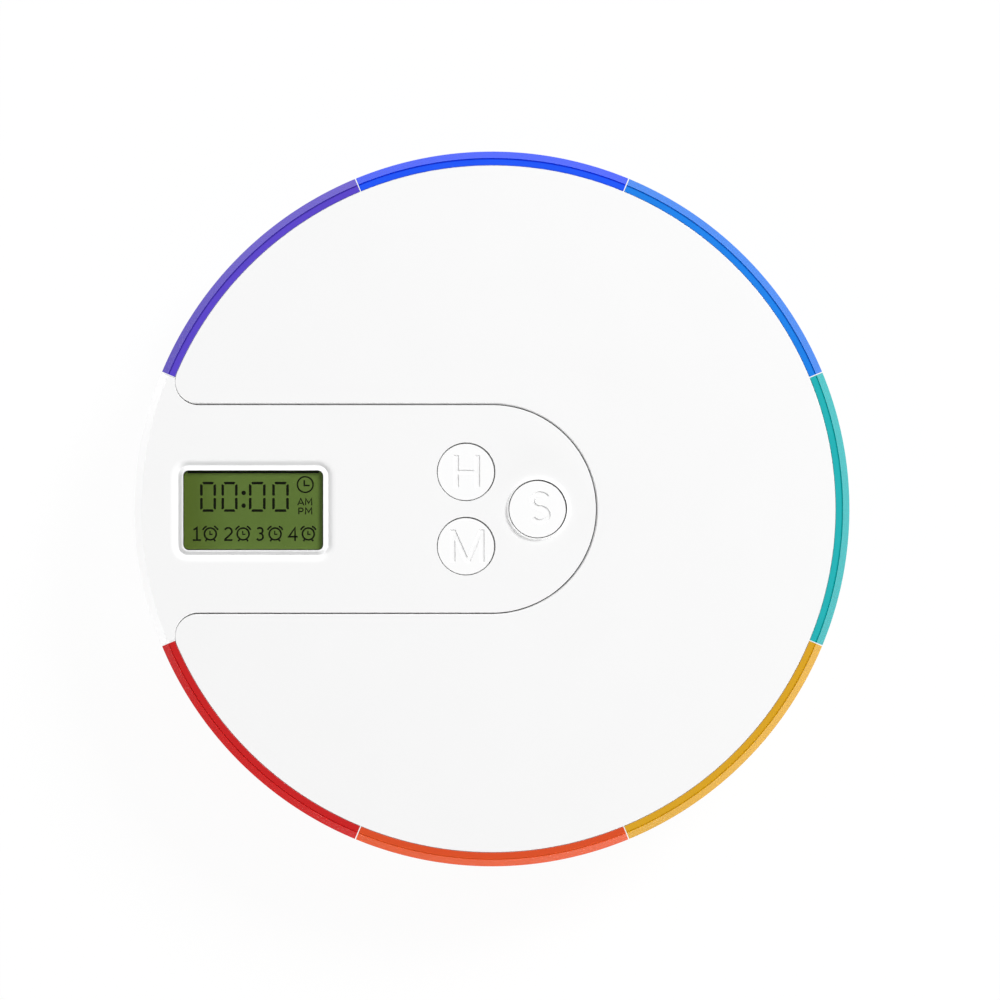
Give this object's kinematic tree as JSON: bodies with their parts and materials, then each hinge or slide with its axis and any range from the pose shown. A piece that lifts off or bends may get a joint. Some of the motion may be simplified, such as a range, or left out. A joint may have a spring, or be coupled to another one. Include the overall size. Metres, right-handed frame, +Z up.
{
  "type": "pill dispenser",
  "caption": "Round weekly pill box: coloured wedge drawers round a white case, with a slide-out reminder timer that has a display and push buttons.",
  "frame": {"origin": "centre of the case on the table, under its feet", "axes": "+Z up out of the flat top, -X towards the timer's rim, +Y towards the blue drawer"},
  "size_m": [0.16, 0.16, 0.0307],
  "materials": {
    "white_base": "fine matt moulded",
    "white_cover": "satin moulded",
    "white_button": "satin moulded",
    "foot_rubber": "matt",
    "screw_steel": "bright",
    "plated_steel": "bright",
    "clear_window": "polished",
    "lcd_green": "satin",
    "contact_rubber": "matt",
    "board_green": "satin lacquer",
    "chip_black": "matt",
    "ceramic_tan": "matt",
    "switch_grey": "matt",
    "switch_pin": "matt",
    "cell_sleeve": "gloss sleeve",
    "lead_red": "matt",
    "lead_black": "matt",
    "violet_clear": "polished, translucent",
    "blue_clear": "polished, translucent",
    "azure_clear": "polished, translucent",
    "teal_clear": "polished, translucent",
    "amber_clear": "polished, translucent",
    "orange_clear": "polished, translucent",
    "red_clear": "polished, translucent"
  },
  "bodies": {
    "housing": {"base_tray": "white_base", "rubber_feet": "foot_rubber", "mid_deck": "white_base", "top_cover": "white_cover", "base_screws": "screw_steel", "cover_screws": "screw_steel"},
    "violet_drawer": {"drawer_violet": "violet_clear"},
    "blue_drawer": {"drawer_blue": "blue_clear"},
    "azure_drawer": {"drawer_azure": "azure_clear"},
    "teal_drawer": {"drawer_teal": "teal_clear"},
    "amber_drawer": {"drawer_amber": "amber_clear"},
    "orange_drawer": {"drawer_orange": "orange_clear"},
    "red_drawer": {"drawer_red": "red_clear"},
    "timer": {"timer_top_shell": "white_cover", "timer_back_shell": "white_base", "timer_screws": "screw_steel", "display_window": "clear_window", "lcd_panel": "lcd_green", "lcd_holder": "white_base", "zebra_strip": "contact_rubber", "circuit_board": "board_green", "controller_chip": "chip_black", "crystal": "plated_steel", "small_components": "ceramic_tan", "buzzer": "chip_black", "hour_switch": "switch_grey", "minute_switch": "switch_grey", "set_switch": "switch_grey", "battery_cell": "cell_sleeve", "battery_spring": "plated_steel", "contact_plates": "plated_steel", "positive_lead": "lead_red", "negative_lead": "lead_black"},
    "hour_key": {"hour_button": "white_button", "hour_plunger": "switch_pin"},
    "minute_key": {"minute_button": "white_button", "minute_plunger": "switch_pin"},
    "set_key": {"set_button": "white_button", "set_plunger": "switch_pin"},
    "cell_door": {"battery_door": "white_base"}
  },
  "joints": [
    {"name": "violet_slide", "type": "slide", "parent": "housing", "child": "violet_drawer", "axis": [-0.7071, 0.7071, 0], "range_m": [0, 0.0415]},
    {"name": "blue_slide", "type": "slide", "parent": "housing", "child": "blue_drawer", "axis": [0, 1, 0], "range_m": [0, 0.0415]},
    {"name": "azure_slide", "type": "slide", "parent": "housing", "child": "azure_drawer", "axis": [0.7071, 0.7071, 0], "range_m": [0, 0.0415]},
    {"name": "teal_slide", "type": "slide", "parent": "housing", "child": "teal_drawer", "axis": [1, 0, 0], "range_m": [0, 0.0415]},
    {"name": "amber_slide", "type": "slide", "parent": "housing", "child": "amber_drawer", "axis": [0.7071, -0.7071, 0], "range_m": [0, 0.0415]},
    {"name": "orange_slide", "type": "slide", "parent": "housing", "child": "orange_drawer", "axis": [0, -1, 0], "range_m": [0, 0.0415]},
    {"name": "red_slide", "type": "slide", "parent": "housing", "child": "red_drawer", "axis": [-0.7071, -0.7071, 0], "range_m": [0, 0.0415]},
    {"name": "timer_slide", "type": "slide", "parent": "housing", "child": "timer", "axis": [-1, 0, 0], "range_m": [0, 0.1]},
    {"name": "door_slide", "type": "slide", "parent": "timer", "child": "cell_door", "axis": [-1, 0, 0], "range_m": [0, 0.0528]},
    {"name": "hour_press", "type": "slide", "parent": "timer", "child": "hour_key", "axis": [0, 0, -1], "range_m": [0, 0.0005], "stiffness_N_per_m": 400, "springref_m": -0.001},
    {"name": "minute_press", "type": "slide", "parent": "timer", "child": "minute_key", "axis": [0, 0, -1], "range_m": [0, 0.0005], "stiffness_N_per_m": 400, "springref_m": -0.001},
    {"name": "set_press", "type": "slide", "parent": "timer", "child": "set_key", "axis": [0, 0, -1], "range_m": [0, 0.0005], "stiffness_N_per_m": 400, "springref_m": -0.001}
  ]
}
